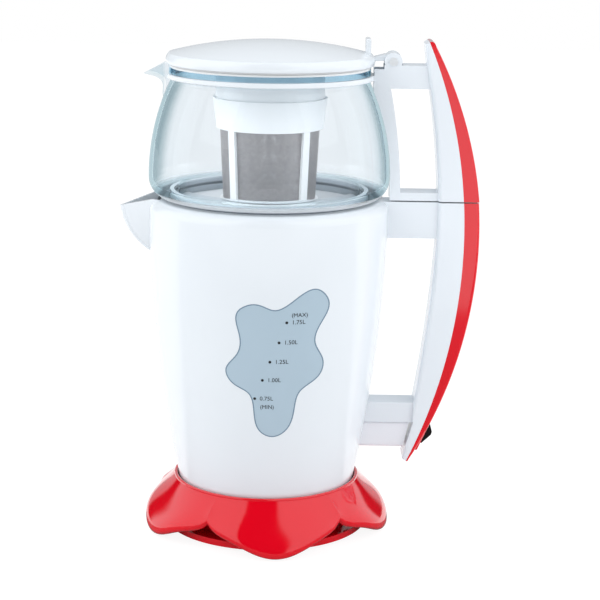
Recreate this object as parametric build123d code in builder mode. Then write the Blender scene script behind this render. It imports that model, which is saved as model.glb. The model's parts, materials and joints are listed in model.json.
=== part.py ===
"""Electric tea maker: a glass teapot on a jug kettle, on a five-petal cordless base.

Axis of the kettle on Z, feet on z = 0, handles towards +X, spouts towards -X, front towards -Y.
"""
import os
from math import cos, radians, sin, sqrt

from build123d import *

os.makedirs("parts", exist_ok=True)

# --- heights above the table -------------------------------------------------
FOOT_H = 3.0
PETAL_LOW_Z = 1.2
NOTCH_Z = 19.6
DECK_Z = 25.0
RIM_Z = 38.5
HEATER_Z = 70.0
SEAM_Z = 79.5
DECK_TOP_Z = 242.0
SEAT_H = 5.0
BULGE_H = 15.0
NECK_H = 82.0
LIP_H = 10.0
LID_LIFT = 3.0
LID_H = 16.0
SEAT_TOP_Z = DECK_TOP_Z + SEAT_H
BULGE_Z = DECK_TOP_Z + BULGE_H
NECK_Z = DECK_TOP_Z + NECK_H
GLASS_TOP_Z = NECK_Z + LIP_H
LID_EDGE_Z = GLASS_TOP_Z + LID_LIFT
LID_TOP_Z = LID_EDGE_Z + LID_H

# --- radii and widths --------------------------------------------------------
PETALS = 5
FRONT_PETAL_DEG = -83.9
KETTLE_TOP_R = 85.3
KETTLE_RIM_R = KETTLE_TOP_R - 21.1
KETTLE_BOW = 4.8
SHOULDER_R = 7.0
PETAL_R = KETTLE_RIM_R + 26.0
NOTCH_R = PETAL_R - 9.7
PAN_R = KETTLE_RIM_R + 9.6
SEAT_RING_R = KETTLE_TOP_R - 15.2
POT_FOOT_R = SEAT_RING_R + 3.5
BULGE_R = KETTLE_TOP_R + 0.2
NECK_R = BULGE_R - 15.0
LID_R = NECK_R + 2.9
GRIP_W = 26.0
ARM_W = 20.0
GRIP_ROUND = 3.0
COVER_ROUND = 2.4
EDGE_ROUND = 1.2

# --- walls and clearances ----------------------------------------------------
WALL = 2.5
GLASS_T = 3.0
PETAL_T = 2.4
GAP = 0.3
RUN_FIT = 0.06
SLICE = 180.0 / PETALS


def polar(radius, angle):
    """Point on a circle about the origin, angle in degrees."""
    return (radius * cos(radians(angle)), radius * sin(radians(angle)))


def bowed(start, end, bow):
    """Middle point of an arc from start to end that bows towards +X by bow."""
    return ((start[0] + end[0]) / 2 + bow, (start[1] + end[1]) / 2)


def arc_x(start, end, bow, height):
    """X at a height on the arc from start through its bowed middle to end."""
    (x1, y1), (x2, y2), (x3, y3) = start, bowed(start, end, bow), end
    double = 2 * (x1 * (y2 - y3) + x2 * (y3 - y1) + x3 * (y1 - y2))
    s1, s2, s3 = x1**2 + y1**2, x2**2 + y2**2, x3**2 + y3**2
    cx = (s1 * (y2 - y3) + s2 * (y3 - y1) + s3 * (y1 - y2)) / double
    cy = (s1 * (x3 - x2) + s2 * (x1 - x3) + s3 * (x2 - x1)) / double
    return cx + sqrt((x1 - cx) ** 2 + (y1 - cy) ** 2 - (height - cy) ** 2)


def radial_plane(angle):
    """Plane through the Z axis: its x runs outwards at angle, its y runs up."""
    return Plane(origin=(0, 0, 0), x_dir=(*polar(1, angle), 0), z_dir=(*polar(1, angle - 90), 0))


def ring(inner, outer, low, high):
    """Plain ring about the Z axis, or a disc where inner is 0."""
    with BuildPart() as band:
        with BuildSketch(Plane.XY.offset(low)):
            Circle(outer)
            if inner:
                Circle(inner, mode=Mode.SUBTRACT)
        extrude(amount=high - low)
    return band.part


def side_edges(builder, point):
    """The edge on each flank of a plate that passes nearest to a point of the XZ plane."""
    flanks = [builder.edges().group_by(Axis.Y)[end] for end in (0, -1)]
    return [
        min(flank, key=lambda edge: edge.distance_to(Vertex(point[0], edge.center().Y, point[1])))
        for flank in flanks
    ]


def studs(radius, low, high, circle_r, first):
    """One upright cylinder per petal, spaced round a circle."""
    with BuildPart() as row:
        with BuildSketch(Plane.XY.offset(low)):
            with PolarLocations(circle_r, PETALS, start_angle=first):
                Circle(radius)
        extrude(amount=high - low)
    return row.part


def bow_line(start, end, bow):
    """Arc from start to end that bows towards +X by bow."""
    return ThreePointArc(start, bowed(start, end, bow), end)


# =============================================================================
# Base
# =============================================================================
CURL_R = 4.0
NOTCH_CURL_R = 3.0
FLARE = (0.555, -0.832)
COLLAR_R = KETTLE_RIM_R + 0.8
COLLAR_T = 2.4
DECK_T = 3.0
BOSS_R = 15.2
DRUM_R = KETTLE_RIM_R - 6.2
POST_R = 4.5
POST_RING_R = 48.0
FOOT_IN_RING_R = DRUM_R + 1.0
FOOT_OUT_RING_R = FOOT_IN_RING_R + 8.0
OUTLET_DEG = FRONT_PETAL_DEG + 180.0
OUTLET_Z = 12.8
BUSH_R = 5.2
BUSH_LIP_R = 6.8
CORD_HOLE_R = 3.5


def lobe_r(phi):
    """Plan radius of a petal at phi degrees from its middle: one arc per petal."""
    chord_x, half_chord = polar(NOTCH_R, SLICE)
    rise = PETAL_R - chord_x
    lobe = (half_chord**2 + rise**2) / (2 * rise)
    centre = PETAL_R - lobe
    across = centre * sin(radians(phi))
    return centre * cos(radians(phi)) + sqrt(lobe**2 - across**2)


def outlet_bar(radius, start, end):
    """Level bar along the cord outlet's axis, between two distances from the Z axis."""
    outward = polar(1, OUTLET_DEG)
    with BuildPart() as bar:
        with BuildSketch(Plane(origin=(*polar(start, OUTLET_DEG), OUTLET_Z), z_dir=(*outward, 0))):
            Circle(radius)
        extrude(amount=end - start)
    return bar.part


def flare(top, foot):
    """Side line of a petal: leaves the rim along FLARE and turns straight down at the foot."""
    third = sqrt((foot[0] - top[0]) ** 2 + (foot[1] - top[1]) ** 2) / 3
    return Bezier(
        top, (top[0] + third * FLARE[0], top[1] + third * FLARE[1]), (foot[0], foot[1] + 0.6 * third), foot
    )


def petal_section(phi):
    """Hooked strip of a petal, cut by the radial plane at phi degrees from its middle."""
    share = abs(phi) / SLICE
    low = PETAL_LOW_Z + (NOTCH_Z - PETAL_LOW_Z) * share**1.35
    curl = CURL_R + (NOTCH_CURL_R - CURL_R) * share
    hook_x, hook_z = lobe_r(phi) - curl, low + curl
    diagonal = sqrt(0.5)
    inner = curl - PETAL_T
    rim_out = (COLLAR_R + 1.6, RIM_Z - 0.4)
    rim_in = (COLLAR_R + 0.6, RIM_Z - PETAL_T)
    with BuildSketch(radial_plane(phi)) as strip:
        with BuildLine():
            flare(rim_out, (hook_x + curl, hook_z))
            ThreePointArc(
                (hook_x + curl, hook_z),
                (hook_x + curl * diagonal, hook_z - curl * diagonal),
                (hook_x, hook_z - curl),
            )
            Line((hook_x, hook_z - curl), (hook_x, hook_z - inner))
            ThreePointArc(
                (hook_x, hook_z - inner),
                (hook_x + inner * diagonal, hook_z - inner * diagonal),
                (hook_x + inner, hook_z),
            )
            flare(rim_in, (hook_x + inner, hook_z))
            Line(rim_in, rim_out)
        make_face()
    return strip.sketch


# --- base_skirt: petals, collar round the kettle and the deck that it stands on
with BuildPart() as petal:
    loft(sections=[petal_section(step * SLICE / 3) for step in range(-3, 4)])

with BuildPart() as base_skirt:
    add(ring(COLLAR_R, COLLAR_R + COLLAR_T, DECK_Z - DECK_T, RIM_Z))
    fillet(base_skirt.edges().filter_by(GeomType.CIRCLE).group_by(Axis.Z)[-1], 1.0)
    add(ring(BOSS_R + 1.3, COLLAR_R + 0.5, DECK_Z - DECK_T, DECK_Z))
    with PolarLocations(0, PETALS, start_angle=FRONT_PETAL_DEG):
        add(petal.part)
base_skirt.part.label = "base_skirt"

# --- base_pan: bottom plate with a lip, a drum up to the deck and screw posts
DRUM_TOP_Z = DECK_Z - DECK_T
with BuildPart() as base_pan:
    add(ring(0, PAN_R, FOOT_H, FOOT_H + WALL))
    add(ring(PAN_R - 2.0, PAN_R, FOOT_H, FOOT_H + 4.5))
    add(ring(DRUM_R - WALL, DRUM_R, FOOT_H, DRUM_TOP_Z))
    add(studs(POST_R, FOOT_H, DRUM_TOP_Z, POST_RING_R, FRONT_PETAL_DEG))
    add(studs(1.8, FOOT_H, DRUM_TOP_Z, POST_RING_R, FRONT_PETAL_DEG), mode=Mode.SUBTRACT)
    add(studs(3.6, FOOT_H, FOOT_H + 1.2, POST_RING_R, FRONT_PETAL_DEG), mode=Mode.SUBTRACT)
    add(outlet_bar(BUSH_R, DRUM_R - 10.0, DRUM_R + 4.0), mode=Mode.SUBTRACT)
base_pan.part.label = "base_pan"

with BuildPart() as base_screws:
    add(studs(1.7, FOOT_H + 1.2, DRUM_TOP_Z - 3.0, POST_RING_R, FRONT_PETAL_DEG))
    add(studs(3.2, FOOT_H + 0.2, FOOT_H + 1.2, POST_RING_R, FRONT_PETAL_DEG))
base_screws.part.label = "base_screws"

# --- base_foot: one rubber ring under the pan
with BuildPart() as base_foot:
    add(ring(FOOT_IN_RING_R, FOOT_OUT_RING_R, 0, FOOT_H))
    fillet(base_foot.edges().group_by(Axis.Z)[0], 0.8)
base_foot.part.label = "base_foot"

# --- cord_outlet: bush through the drum, under the notch at the back
with BuildPart() as cord_outlet:
    add(outlet_bar(BUSH_LIP_R, DRUM_R - WALL, DRUM_R + 3.0))
    add(ring(0, DRUM_R, FOOT_H, DRUM_TOP_Z), mode=Mode.SUBTRACT)
    add(outlet_bar(BUSH_R, DRUM_R - WALL - 2.0, DRUM_R + 3.0))
    add(outlet_bar(CORD_HOLE_R, DRUM_R - 10.0, DRUM_R + 4.0), mode=Mode.SUBTRACT)
cord_outlet.part.label = "cord_outlet"

# --- base_connector: black boss in the middle of the deck, with a ring groove and a pin well
BOSS_TOP_Z = DECK_Z + 10.0
GROOVE_IN = 7.5
GROOVE_OUT = 10.5
WELL_R = 4.2
with BuildPart() as base_connector:
    add(ring(0, BOSS_R + 1.3, DECK_Z - 13.0, DECK_Z + 1.0))
    add(ring(0, BOSS_R + 6.5, DECK_Z, DECK_Z + 1.0))
    add(ring(0, BOSS_R, DECK_Z, BOSS_TOP_Z))
    fillet(base_connector.edges().group_by(Axis.Z)[-1], 1.2)
    add(ring(GROOVE_IN, GROOVE_OUT, DECK_Z, BOSS_TOP_Z), mode=Mode.SUBTRACT)
    add(ring(0, WELL_R, DECK_Z - 5.0, BOSS_TOP_Z), mode=Mode.SUBTRACT)
base_connector.part.label = "base_connector"

with BuildPart() as connector_contacts:
    add(ring(0, 1.5, DECK_Z - 5.0, BOSS_TOP_Z - 2.0))
    add(ring(GROOVE_IN, GROOVE_IN + 0.6, DECK_Z, BOSS_TOP_Z - 2.5))
connector_contacts.part.label = "connector_contacts"

# =============================================================================
# Coupler: round socket under the kettle
# =============================================================================
COUPLER_HOLE_R = 24.0
SOCKET_R = BOSS_R + 0.4
SOCKET_TOP_Z = BOSS_TOP_Z + 0.5
COUPLER_LOW_Z = DECK_Z + 1.0 + GAP
COUPLER_TOP_Z = SOCKET_TOP_Z + 9.0

with BuildPart() as kettle_coupler:
    add(ring(0, COUPLER_HOLE_R - RUN_FIT, COUPLER_LOW_Z, COUPLER_TOP_Z))
    add(ring(0, SOCKET_R, COUPLER_LOW_Z, SOCKET_TOP_Z), mode=Mode.SUBTRACT)
    chamfer(kettle_coupler.edges().group_by(Axis.Z)[-1], 1.0)
kettle_coupler.part.label = "kettle_coupler"

with BuildPart() as coupler_contacts:
    add(ring(2.4, 3.4, DECK_Z + 2.0, SOCKET_TOP_Z))
    add(ring(GROOVE_IN + 1.1, GROOVE_OUT - 1.1, DECK_Z + 2.0, SOCKET_TOP_Z))
coupler_contacts.part.label = "coupler_contacts"

# =============================================================================
# Kettle
# =============================================================================
HOUSING_LOW_Z = DECK_Z + GAP
WALL_LOW = (KETTLE_RIM_R, RIM_Z)
WALL_TOP = (KETTLE_TOP_R, DECK_TOP_Z - SHOULDER_R)
SKIRT_LOW_Z = HEATER_Z - 4.0
SPOUT_REACH = 21.4
SPOUT_TIP_X = -KETTLE_TOP_R - SPOUT_REACH
SPOUT_ROOT_X = 9.3 - KETTLE_TOP_R
SPOUT_RIM = ((SPOUT_ROOT_X - 6.0, DECK_TOP_Z), (SPOUT_TIP_X, DECK_TOP_Z - 7.6))


def kettle_r(height, inset=0.0):
    """Radius of the kettle's outside at a height, less an inset."""
    return arc_x(WALL_LOW, WALL_TOP, KETTLE_BOW, height) - inset


def drum(low, high, inset=0.0):
    """Solid bounded by the kettle's side, less an inset, between two heights."""
    middle = (low + high) / 2
    with BuildPart() as body:
        with BuildSketch(Plane.XZ):
            with BuildLine():
                ThreePointArc(
                    (kettle_r(low, inset), low),
                    (kettle_r(middle, inset), middle),
                    (kettle_r(high, inset), high),
                )
                Polyline((kettle_r(high, inset), high), (0, high), (0, low), (kettle_r(low, inset), low))
            make_face()
        revolve(axis=Axis.Z)
    return body.part


def beak_section(height, tip_x, root_x, half_width, nose):
    """Level cut through a pouring spout: straight flanks that meet in a round nose."""
    with BuildSketch(Plane.XY.offset(height)) as cut:
        with BuildLine():
            Line((root_x, -half_width), (tip_x + nose, -nose))
            ThreePointArc((tip_x + nose, -nose), (tip_x, 0), (tip_x + nose, nose))
            Line((tip_x + nose, nose), (root_x, half_width))
            Line((root_x, half_width), (root_x, -half_width))
        make_face()
    return cut.sketch


def above(line, reach, half_width):
    """Block over a sloping line in the XZ plane, to cut a spout's rim."""
    (x1, z1), (x2, z2) = line
    with BuildPart() as block:
        with BuildSketch(Plane.XZ):
            with BuildLine():
                outer = (x2 - reach, z2 - reach * (z1 - z2) / (x1 - x2))
                Polyline((0, z1), (x1, z1), outer, (outer[0], z1 + reach), (0, z1 + reach), close=True)
            make_face()
        extrude(amount=half_width, both=True)
    return block.part


def side_plate(*outline, width):
    """Plate of a closed XZ outline of points, centred on the XZ plane."""
    with BuildPart() as plate:
        with BuildSketch(Plane.XZ):
            with BuildLine():
                Polyline(*outline, close=True)
            make_face()
        extrude(amount=width / 2, both=True)
    return plate.part


# --- envelope: everything inside the kettle's skin, used to trim what joins it
with BuildPart() as kettle_envelope:
    add(drum(HOUSING_LOW_Z, DECK_TOP_Z))
    fillet(kettle_envelope.edges().group_by(Axis.Z)[-1], SHOULDER_R)

with BuildPart() as kettle_hollow:
    add(drum(SEAM_Z + WALL, DECK_TOP_Z - WALL, WALL))
    fillet(kettle_hollow.edges().group_by(Axis.Z)[-1], SHOULDER_R - WALL)
    add(drum(SKIRT_LOW_Z, SEAM_Z + WALL, 2 * WALL))
    add(ring(0, SEAT_RING_R, DECK_TOP_Z - WALL, DECK_TOP_Z))

# --- gauge outline on the front: a free-form pool, points in the XZ plane
GAUGE_POINTS = [
    (-12.9, 181.6), (-20.5, 173.7), (-17.6, 157.0), (-20.0, 146.0), (-27.3, 134.9),
    (-22.5, 124.8), (-11.7, 118.2), (-7.5, 100.9), (-3.5, 90.0), (5.1, 85.9), (14.6, 90.5),
    (20.4, 105.7), (24.0, 119.0), (37.0, 129.7), (39.8, 141.2), (34.2, 154.5), (36.4, 164.9),
    (43.2, 183.0), (35.1, 192.4), (21.2, 186.9), (5.8, 178.7),
]
with BuildPart() as gauge_prism:
    with BuildSketch(Plane.XZ):
        with BuildLine():
            Spline(*GAUGE_POINTS, periodic=True)
        make_face()
    extrude(amount=KETTLE_TOP_R + WALL)

# --- kettle_shell: side wall, shoulder, deck with the mouth, and the pouring spout
SPOUT_HEIGHTS = [DECK_TOP_Z - drop for drop in (41.0, 27.0, 12.0, -4.0)]
SPOUT_TIPS = [SPOUT_TIP_X + back for back in (23.2, 8.0, 1.4, -0.8)]
SPOUT_WIDTHS = (5.0, 15.0, 21.0, 23.0)
with BuildPart() as spout:
    loft(sections=[
        beak_section(z, tip, SPOUT_ROOT_X, w, 3.2)
        for z, tip, w in zip(SPOUT_HEIGHTS, SPOUT_TIPS, SPOUT_WIDTHS)
    ])
    add(kettle_envelope.part, mode=Mode.SUBTRACT)
    add(above(SPOUT_RIM, 10.0, 30.0), mode=Mode.SUBTRACT)

with BuildPart() as spout_channel:
    loft(sections=[
        beak_section(z + WALL, tip + WALL, SPOUT_ROOT_X, w - WALL, 1.6)
        for z, tip, w in zip(SPOUT_HEIGHTS, SPOUT_TIPS, SPOUT_WIDTHS)
    ])

with BuildPart() as kettle_spout:
    add(spout.part)
    add(spout_channel.part, mode=Mode.SUBTRACT)
kettle_spout.part.label = "kettle_spout"

with BuildPart() as kettle_shell:
    add(kettle_envelope.part)
    add(above(SPOUT_RIM, 10.0, 30.0), mode=Mode.SUBTRACT)
    add(ring(0, KETTLE_TOP_R + 40.0, HOUSING_LOW_Z - 1.0, SKIRT_LOW_Z), mode=Mode.SUBTRACT)
    with BuildPart(mode=Mode.PRIVATE) as rebate:
        add(drum(HOUSING_LOW_Z, SEAM_Z))
        add(drum(HOUSING_LOW_Z, SEAM_Z, WALL + 0.1), mode=Mode.SUBTRACT)
    add(rebate.part, mode=Mode.SUBTRACT)
    add(kettle_hollow.part, mode=Mode.SUBTRACT)
    add(spout_channel.part, mode=Mode.SUBTRACT)
    add(gauge_prism.part, mode=Mode.SUBTRACT)
kettle_shell.part.label = "kettle_shell"

with BuildPart() as gauge_window:
    add(drum(SEAM_Z, DECK_TOP_Z - SHOULDER_R))
    add(drum(SEAM_Z, DECK_TOP_Z - SHOULDER_R, WALL), mode=Mode.SUBTRACT)
    add(gauge_prism.part, mode=Mode.INTERSECT)
gauge_window.part.label = "gauge_window"

# --- kettle_base_housing: lower cup that carries the coupler and covers the heater
with BuildPart() as kettle_base_housing:
    add(drum(HOUSING_LOW_Z, SEAM_Z))
    fillet(kettle_base_housing.edges().group_by(Axis.Z)[0], 1.5)
    add(drum(HOUSING_LOW_Z + WALL, SEAM_Z, WALL), mode=Mode.SUBTRACT)
    add(ring(COUPLER_HOLE_R, COUPLER_HOLE_R + 2.0, HOUSING_LOW_Z, COUPLER_TOP_Z - 4.0))
    add(ring(0, COUPLER_HOLE_R, HOUSING_LOW_Z, COUPLER_TOP_Z), mode=Mode.SUBTRACT)
kettle_base_housing.part.label = "kettle_base_housing"

# --- seat_ring: steel hoop in the mouth that centres the teapot
SEAT_T = 2.4
SEAT_LOW_Z = DECK_TOP_Z - 8.0
with BuildPart() as seat_ring:
    add(ring(SEAT_RING_R - SEAT_T, SEAT_RING_R, SEAT_LOW_Z, SEAT_TOP_Z))
    fillet(seat_ring.edges().group_by(Axis.Z)[-1], 0.8)
    add(ring(SEAT_RING_R - SEAT_T, SEAT_RING_R + 4.0, DECK_TOP_Z - WALL - 1.2, DECK_TOP_Z - WALL))
seat_ring.part.label = "seat_ring"

# --- heater under the water
PLATE_R = kettle_r(SKIRT_LOW_Z, 2 * WALL) - 2.5
with BuildPart() as heating_plate:
    add(ring(0, PLATE_R, HEATER_Z, HEATER_Z + 1.2))
heating_plate.part.label = "heating_plate"

with BuildPart() as plate_seal:
    add(drum(HEATER_Z - 2.0, HEATER_Z + 3.0, 2 * WALL))
    add(ring(0, PLATE_R, HEATER_Z, HEATER_Z + 1.2), mode=Mode.SUBTRACT)
    add(ring(0, PLATE_R - 2.5, HEATER_Z - 2.0, HEATER_Z + 3.0), mode=Mode.SUBTRACT)
plate_seal.part.label = "plate_seal"

with BuildPart() as heating_element:
    with BuildSketch(Plane.XZ):
        with Locations((PLATE_R - 23.5, HEATER_Z - 3.5)):
            RectangleRounded(7.0, 7.0, 2.0)
    revolve(axis=Axis.Z, revolution_arc=310)
heating_element.part.label = "heating_element"

with BuildPart() as thermostat:
    add(ring(0, 12.0, HEATER_Z - 10.0, HEATER_Z))
    chamfer(thermostat.edges().group_by(Axis.Z)[0], 1.5)
thermostat.part.label = "thermostat"

# =============================================================================
# Kettle handle and switch
# =============================================================================
ARM_TOP_Z = DECK_TOP_Z - 0.6
ARM_H = 26.0
LOWER_ARM_H = 14.8
COVER_T = 10.9
SPLIT_TOP = (KETTLE_TOP_R + 52.5, ARM_TOP_Z)
SPLIT_FOOT = (KETTLE_RIM_R + 37.8, RIM_Z + 12.1)
SPLIT_BOW = 12.7
OUTER_TOP = (SPLIT_TOP[0] + COVER_T, ARM_TOP_Z)
OUTER_FOOT = (SPLIT_FOOT[0] + 1.4, SPLIT_FOOT[1] - 0.8)
OUTER_BOW = 16.0
ARM_LOW_Z = SEAM_Z - GAP
REACH_TOP = (SPLIT_TOP[0] - 18.2, ARM_TOP_Z - ARM_H)
REACH_FOOT = (SPLIT_FOOT[0] + 4.3, ARM_LOW_Z + LOWER_ARM_H)
REACH_BOW = 1.7
BOX_H = 19.2
BOX_W = 17.0
BOX_LOW_Z = ARM_LOW_Z - BOX_H
ARM_LAP = 2.4
ARM_ROOT_X = KETTLE_RIM_R - 2.0
TAIL = (
    (REACH_FOOT[0], ARM_LOW_Z), (REACH_FOOT[0] - 5.5, BOX_LOW_Z), (SPLIT_FOOT[0] - 2.9, SPLIT_FOOT[1] + 1.8),
)
TAIL_GAP = 2.6


def arm(reach, low, high, width):
    """Level arm from inside the kettle's side out to a reach along X."""
    return side_plate((ARM_ROOT_X, high), (reach, high), (reach, low), (ARM_ROOT_X, low), width=width)


with BuildPart() as kettle_handle:
    with BuildSketch(Plane.XZ):
        with BuildLine():
            bow_line(SPLIT_TOP, SPLIT_FOOT, SPLIT_BOW)
            Polyline(SPLIT_FOOT, TAIL[2], TAIL[1], TAIL[0], REACH_FOOT)
            bow_line(REACH_FOOT, REACH_TOP, REACH_BOW)
            Polyline(REACH_TOP, (REACH_TOP[0], ARM_TOP_Z), SPLIT_TOP)
        make_face()
    extrude(amount=GRIP_W / 2, both=True)
    fillet(side_edges(kettle_handle, bowed(REACH_FOOT, REACH_TOP, REACH_BOW)), GRIP_ROUND)
    add(arm(REACH_TOP[0] + ARM_LAP, REACH_TOP[1], ARM_TOP_Z, ARM_W))
    add(arm(REACH_FOOT[0], ARM_LOW_Z, REACH_FOOT[1], ARM_W))
    add(kettle_envelope.part, mode=Mode.SUBTRACT)

with BuildPart() as kettle_handle_cover:
    with BuildSketch(Plane.XZ):
        with BuildLine():
            bow_line(SPLIT_TOP, SPLIT_FOOT, SPLIT_BOW)
            Line(SPLIT_FOOT, OUTER_FOOT)
            bow_line(OUTER_FOOT, OUTER_TOP, OUTER_BOW)
            Line(OUTER_TOP, SPLIT_TOP)
        make_face()
    extrude(amount=GRIP_W / 2, both=True)
    fillet(side_edges(kettle_handle_cover, bowed(OUTER_FOOT, OUTER_TOP, OUTER_BOW)), COVER_ROUND)

with BuildPart() as switch_box:
    add(side_plate(
        (ARM_ROOT_X, ARM_LOW_Z), (TAIL[0][0] - TAIL_GAP, ARM_LOW_Z), (TAIL[1][0] - TAIL_GAP / 2, BOX_LOW_Z),
        (ARM_ROOT_X, BOX_LOW_Z), width=BOX_W,
    ))
    fillet(switch_box.edges().filter_by(Axis.X, tolerance=2), 2.0)
    add(kettle_envelope.part, mode=Mode.SUBTRACT)

# --- switch: rocker in a raised red bezel on the outer face, near the handle's foot
SWITCH_Z = SPLIT_FOOT[1] + 19.8
SWITCH_AT = (arc_x(OUTER_FOOT, OUTER_TOP, OUTER_BOW, SWITCH_Z) + 1.0, SWITCH_Z)
SWITCH_OUT = (0.915, -0.404)
BEZEL_L = 28.6
BEZEL_W = 17.0
BEZEL_DEPTH = 5.0
CUT_L = 21.0
CUT_W = 12.0
BODY_DEPTH = 9.5
PIVOT_IN = 3.0
PIVOT_R = 1.2
ROCKER_L = 18.4
ROCKER_W = 9.8
ROCKER_NOSE = 4.8
ROCKER_TILT = 8.0
SWITCH = Plane(
    origin=(SWITCH_AT[0], 0, SWITCH_AT[1]), x_dir=(0, 1, 0), z_dir=(SWITCH_OUT[0], 0, SWITCH_OUT[1])
)
SWITCH_AXIS = Axis(SWITCH.origin, SWITCH.z_dir)
PIVOT = SWITCH.offset(-PIVOT_IN).origin
PIVOT_PLANE = Plane(origin=PIVOT, x_dir=SWITCH.y_dir, z_dir=(0, 1, 0))
TILT_PLANE = Plane(origin=PIVOT, x_dir=SWITCH.y_dir.rotate(Axis.Y, -ROCKER_TILT), z_dir=(0, 1, 0))


def switch_block(width, length, low, high):
    """Block centred on the switch, between two depths along its outward axis."""
    with BuildPart() as block:
        with BuildSketch(SWITCH.offset(low)):
            Rectangle(width, length)
        extrude(amount=high - low)
    return block.part


def cross_bar(plane, radius, half_length):
    """Round bar centred on a plane and square to it."""
    with BuildPart() as bar:
        with BuildSketch(plane):
            Circle(radius)
        extrude(amount=half_length, both=True)
    return bar.part


with BuildPart() as switch_bezel:
    add(switch_block(BEZEL_W, BEZEL_L, -BEZEL_DEPTH, 0))
    fillet(switch_bezel.edges().group_by(SWITCH_AXIS)[-1], 1.2)
    add(switch_block(CUT_W, CUT_L, -BEZEL_DEPTH, 1.0), mode=Mode.SUBTRACT)
switch_bezel.part.label = "switch_bezel"

with BuildPart() as switch_body:
    add(switch_block(CUT_W, CUT_L, -BODY_DEPTH, -0.8))
    add(switch_block(ROCKER_W + 0.6, CUT_L - 1.6, -6.2, 0), mode=Mode.SUBTRACT)
    add(cross_bar(PIVOT_PLANE, PIVOT_R + RUN_FIT, CUT_W / 2 - 0.25), mode=Mode.SUBTRACT)
switch_body.part.label = "switch_body"

with BuildPart() as switch_rocker:
    with BuildSketch(TILT_PLANE) as rocker_side:
        with BuildLine():
            Polyline(
                (-ROCKER_L / 2, 1.8), (-ROCKER_L / 2, PIVOT_IN), (-1.2, PIVOT_IN + ROCKER_NOSE),
                (1.2, PIVOT_IN + ROCKER_NOSE), (ROCKER_L / 2, PIVOT_IN), (ROCKER_L / 2, 1.8),
                (2.0, -2.0), (-2.0, -2.0), close=True,
            )
        make_face()
        fillet(rocker_side.vertices().sort_by(Axis.Y)[-2:], 0.8)
    extrude(amount=ROCKER_W / 2, both=True)
    add(cross_bar(PIVOT_PLANE, PIVOT_R, CUT_W / 2 - 0.3))
switch_rocker.part.label = "switch_rocker"

switch_room = switch_block(BEZEL_W, BEZEL_L, -BEZEL_DEPTH, 6.0)
switch_well = switch_block(CUT_W, CUT_L, -BODY_DEPTH, 6.0)
with BuildPart() as handle_trim:
    add(switch_room)
    add(switch_well)

for skin in (kettle_handle, kettle_handle_cover):
    with skin:
        add(handle_trim.part, mode=Mode.SUBTRACT)
kettle_handle.part.label = "kettle_handle"
kettle_handle_cover.part.label = "kettle_handle_cover"

# --- kettle_handle_screws: two from below, through the switch box into the lower arm
SCREW_XS = (ARM_ROOT_X + 17.8, ARM_ROOT_X + 30.8)
with BuildPart() as kettle_handle_screws:
    for x in SCREW_XS:
        with BuildSketch(Plane.XY.offset(BOX_LOW_Z + 0.4)):
            with Locations((x, 0)):
                Circle(3.0)
        extrude(amount=1.8)
        with BuildSketch(Plane.XY.offset(BOX_LOW_Z + 2.2)):
            with Locations((x, 0)):
                Circle(1.6)
        extrude(amount=24.0)
kettle_handle_screws.part.label = "kettle_handle_screws"

with BuildPart() as screw_room:
    add(kettle_handle_screws.part)
    for x in SCREW_XS:
        with BuildSketch(Plane.XY.offset(BOX_LOW_Z - 1.0)):
            with Locations((x, 0)):
                Circle(3.0)
        extrude(amount=2.0)

for holed in (kettle_handle, switch_box):
    with holed:
        add(screw_room.part, mode=Mode.SUBTRACT)
kettle_handle.part.label = "kettle_handle"
switch_box.part.label = "switch_box"

# =============================================================================
# Teapot
# =============================================================================
PLUG_R = SEAT_RING_R - SEAT_T - GAP
PLUG_LOW_Z = DECK_TOP_Z - 6.7
FOOT_IN_R = SEAT_RING_R + 0.4
POT_LOW_Z = DECK_TOP_Z + GAP
SHELF_Z = SEAT_TOP_Z + GAP + GLASS_T
BAND_T = 2.7
BAND_LOW_Z = NECK_Z + 2.6
BAND_TOP_Z = NECK_Z + 6.2
BEAK_TIP_X = -NECK_R - 17.6
BEAK_RIM = ((-NECK_R - 3.5, LID_EDGE_Z - 0.4), (BEAK_TIP_X, NECK_Z + 5.2))


def pot_body(offset):
    """Solid of the glass above its widest point, grown by an offset."""
    with BuildPart() as body:
        with BuildSketch(Plane.XZ):
            with BuildLine():
                bulge = (BULGE_R + offset, BULGE_Z)
                neck = (NECK_R + offset, NECK_Z)
                TangentArc(bulge, neck, tangent=(0, 1))
                Polyline(neck, (neck[0], GLASS_TOP_Z), (0, GLASS_TOP_Z), (0, BULGE_Z), bulge)
            make_face()
        revolve(axis=Axis.Z)
    return body.part


# --- pot_glass: bulging body, plug that drops into the kettle's mouth, foot rim and beak
with BuildPart() as pot_shape:
    add(pot_body(0))
    with BuildSketch(Plane.XZ):
        with BuildLine():
            TangentArc((BULGE_R, BULGE_Z), (POT_FOOT_R, POT_LOW_Z), tangent=(0, -1))
            Polyline(
                (POT_FOOT_R, POT_LOW_Z), (FOOT_IN_R, POT_LOW_Z), (FOOT_IN_R, SEAT_TOP_Z + GAP),
                (PLUG_R, SEAT_TOP_Z + GAP), (PLUG_R, PLUG_LOW_Z), (0, PLUG_LOW_Z), (0, BULGE_Z),
                (BULGE_R, BULGE_Z),
            )
        make_face()
    revolve(axis=Axis.Z)

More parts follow.
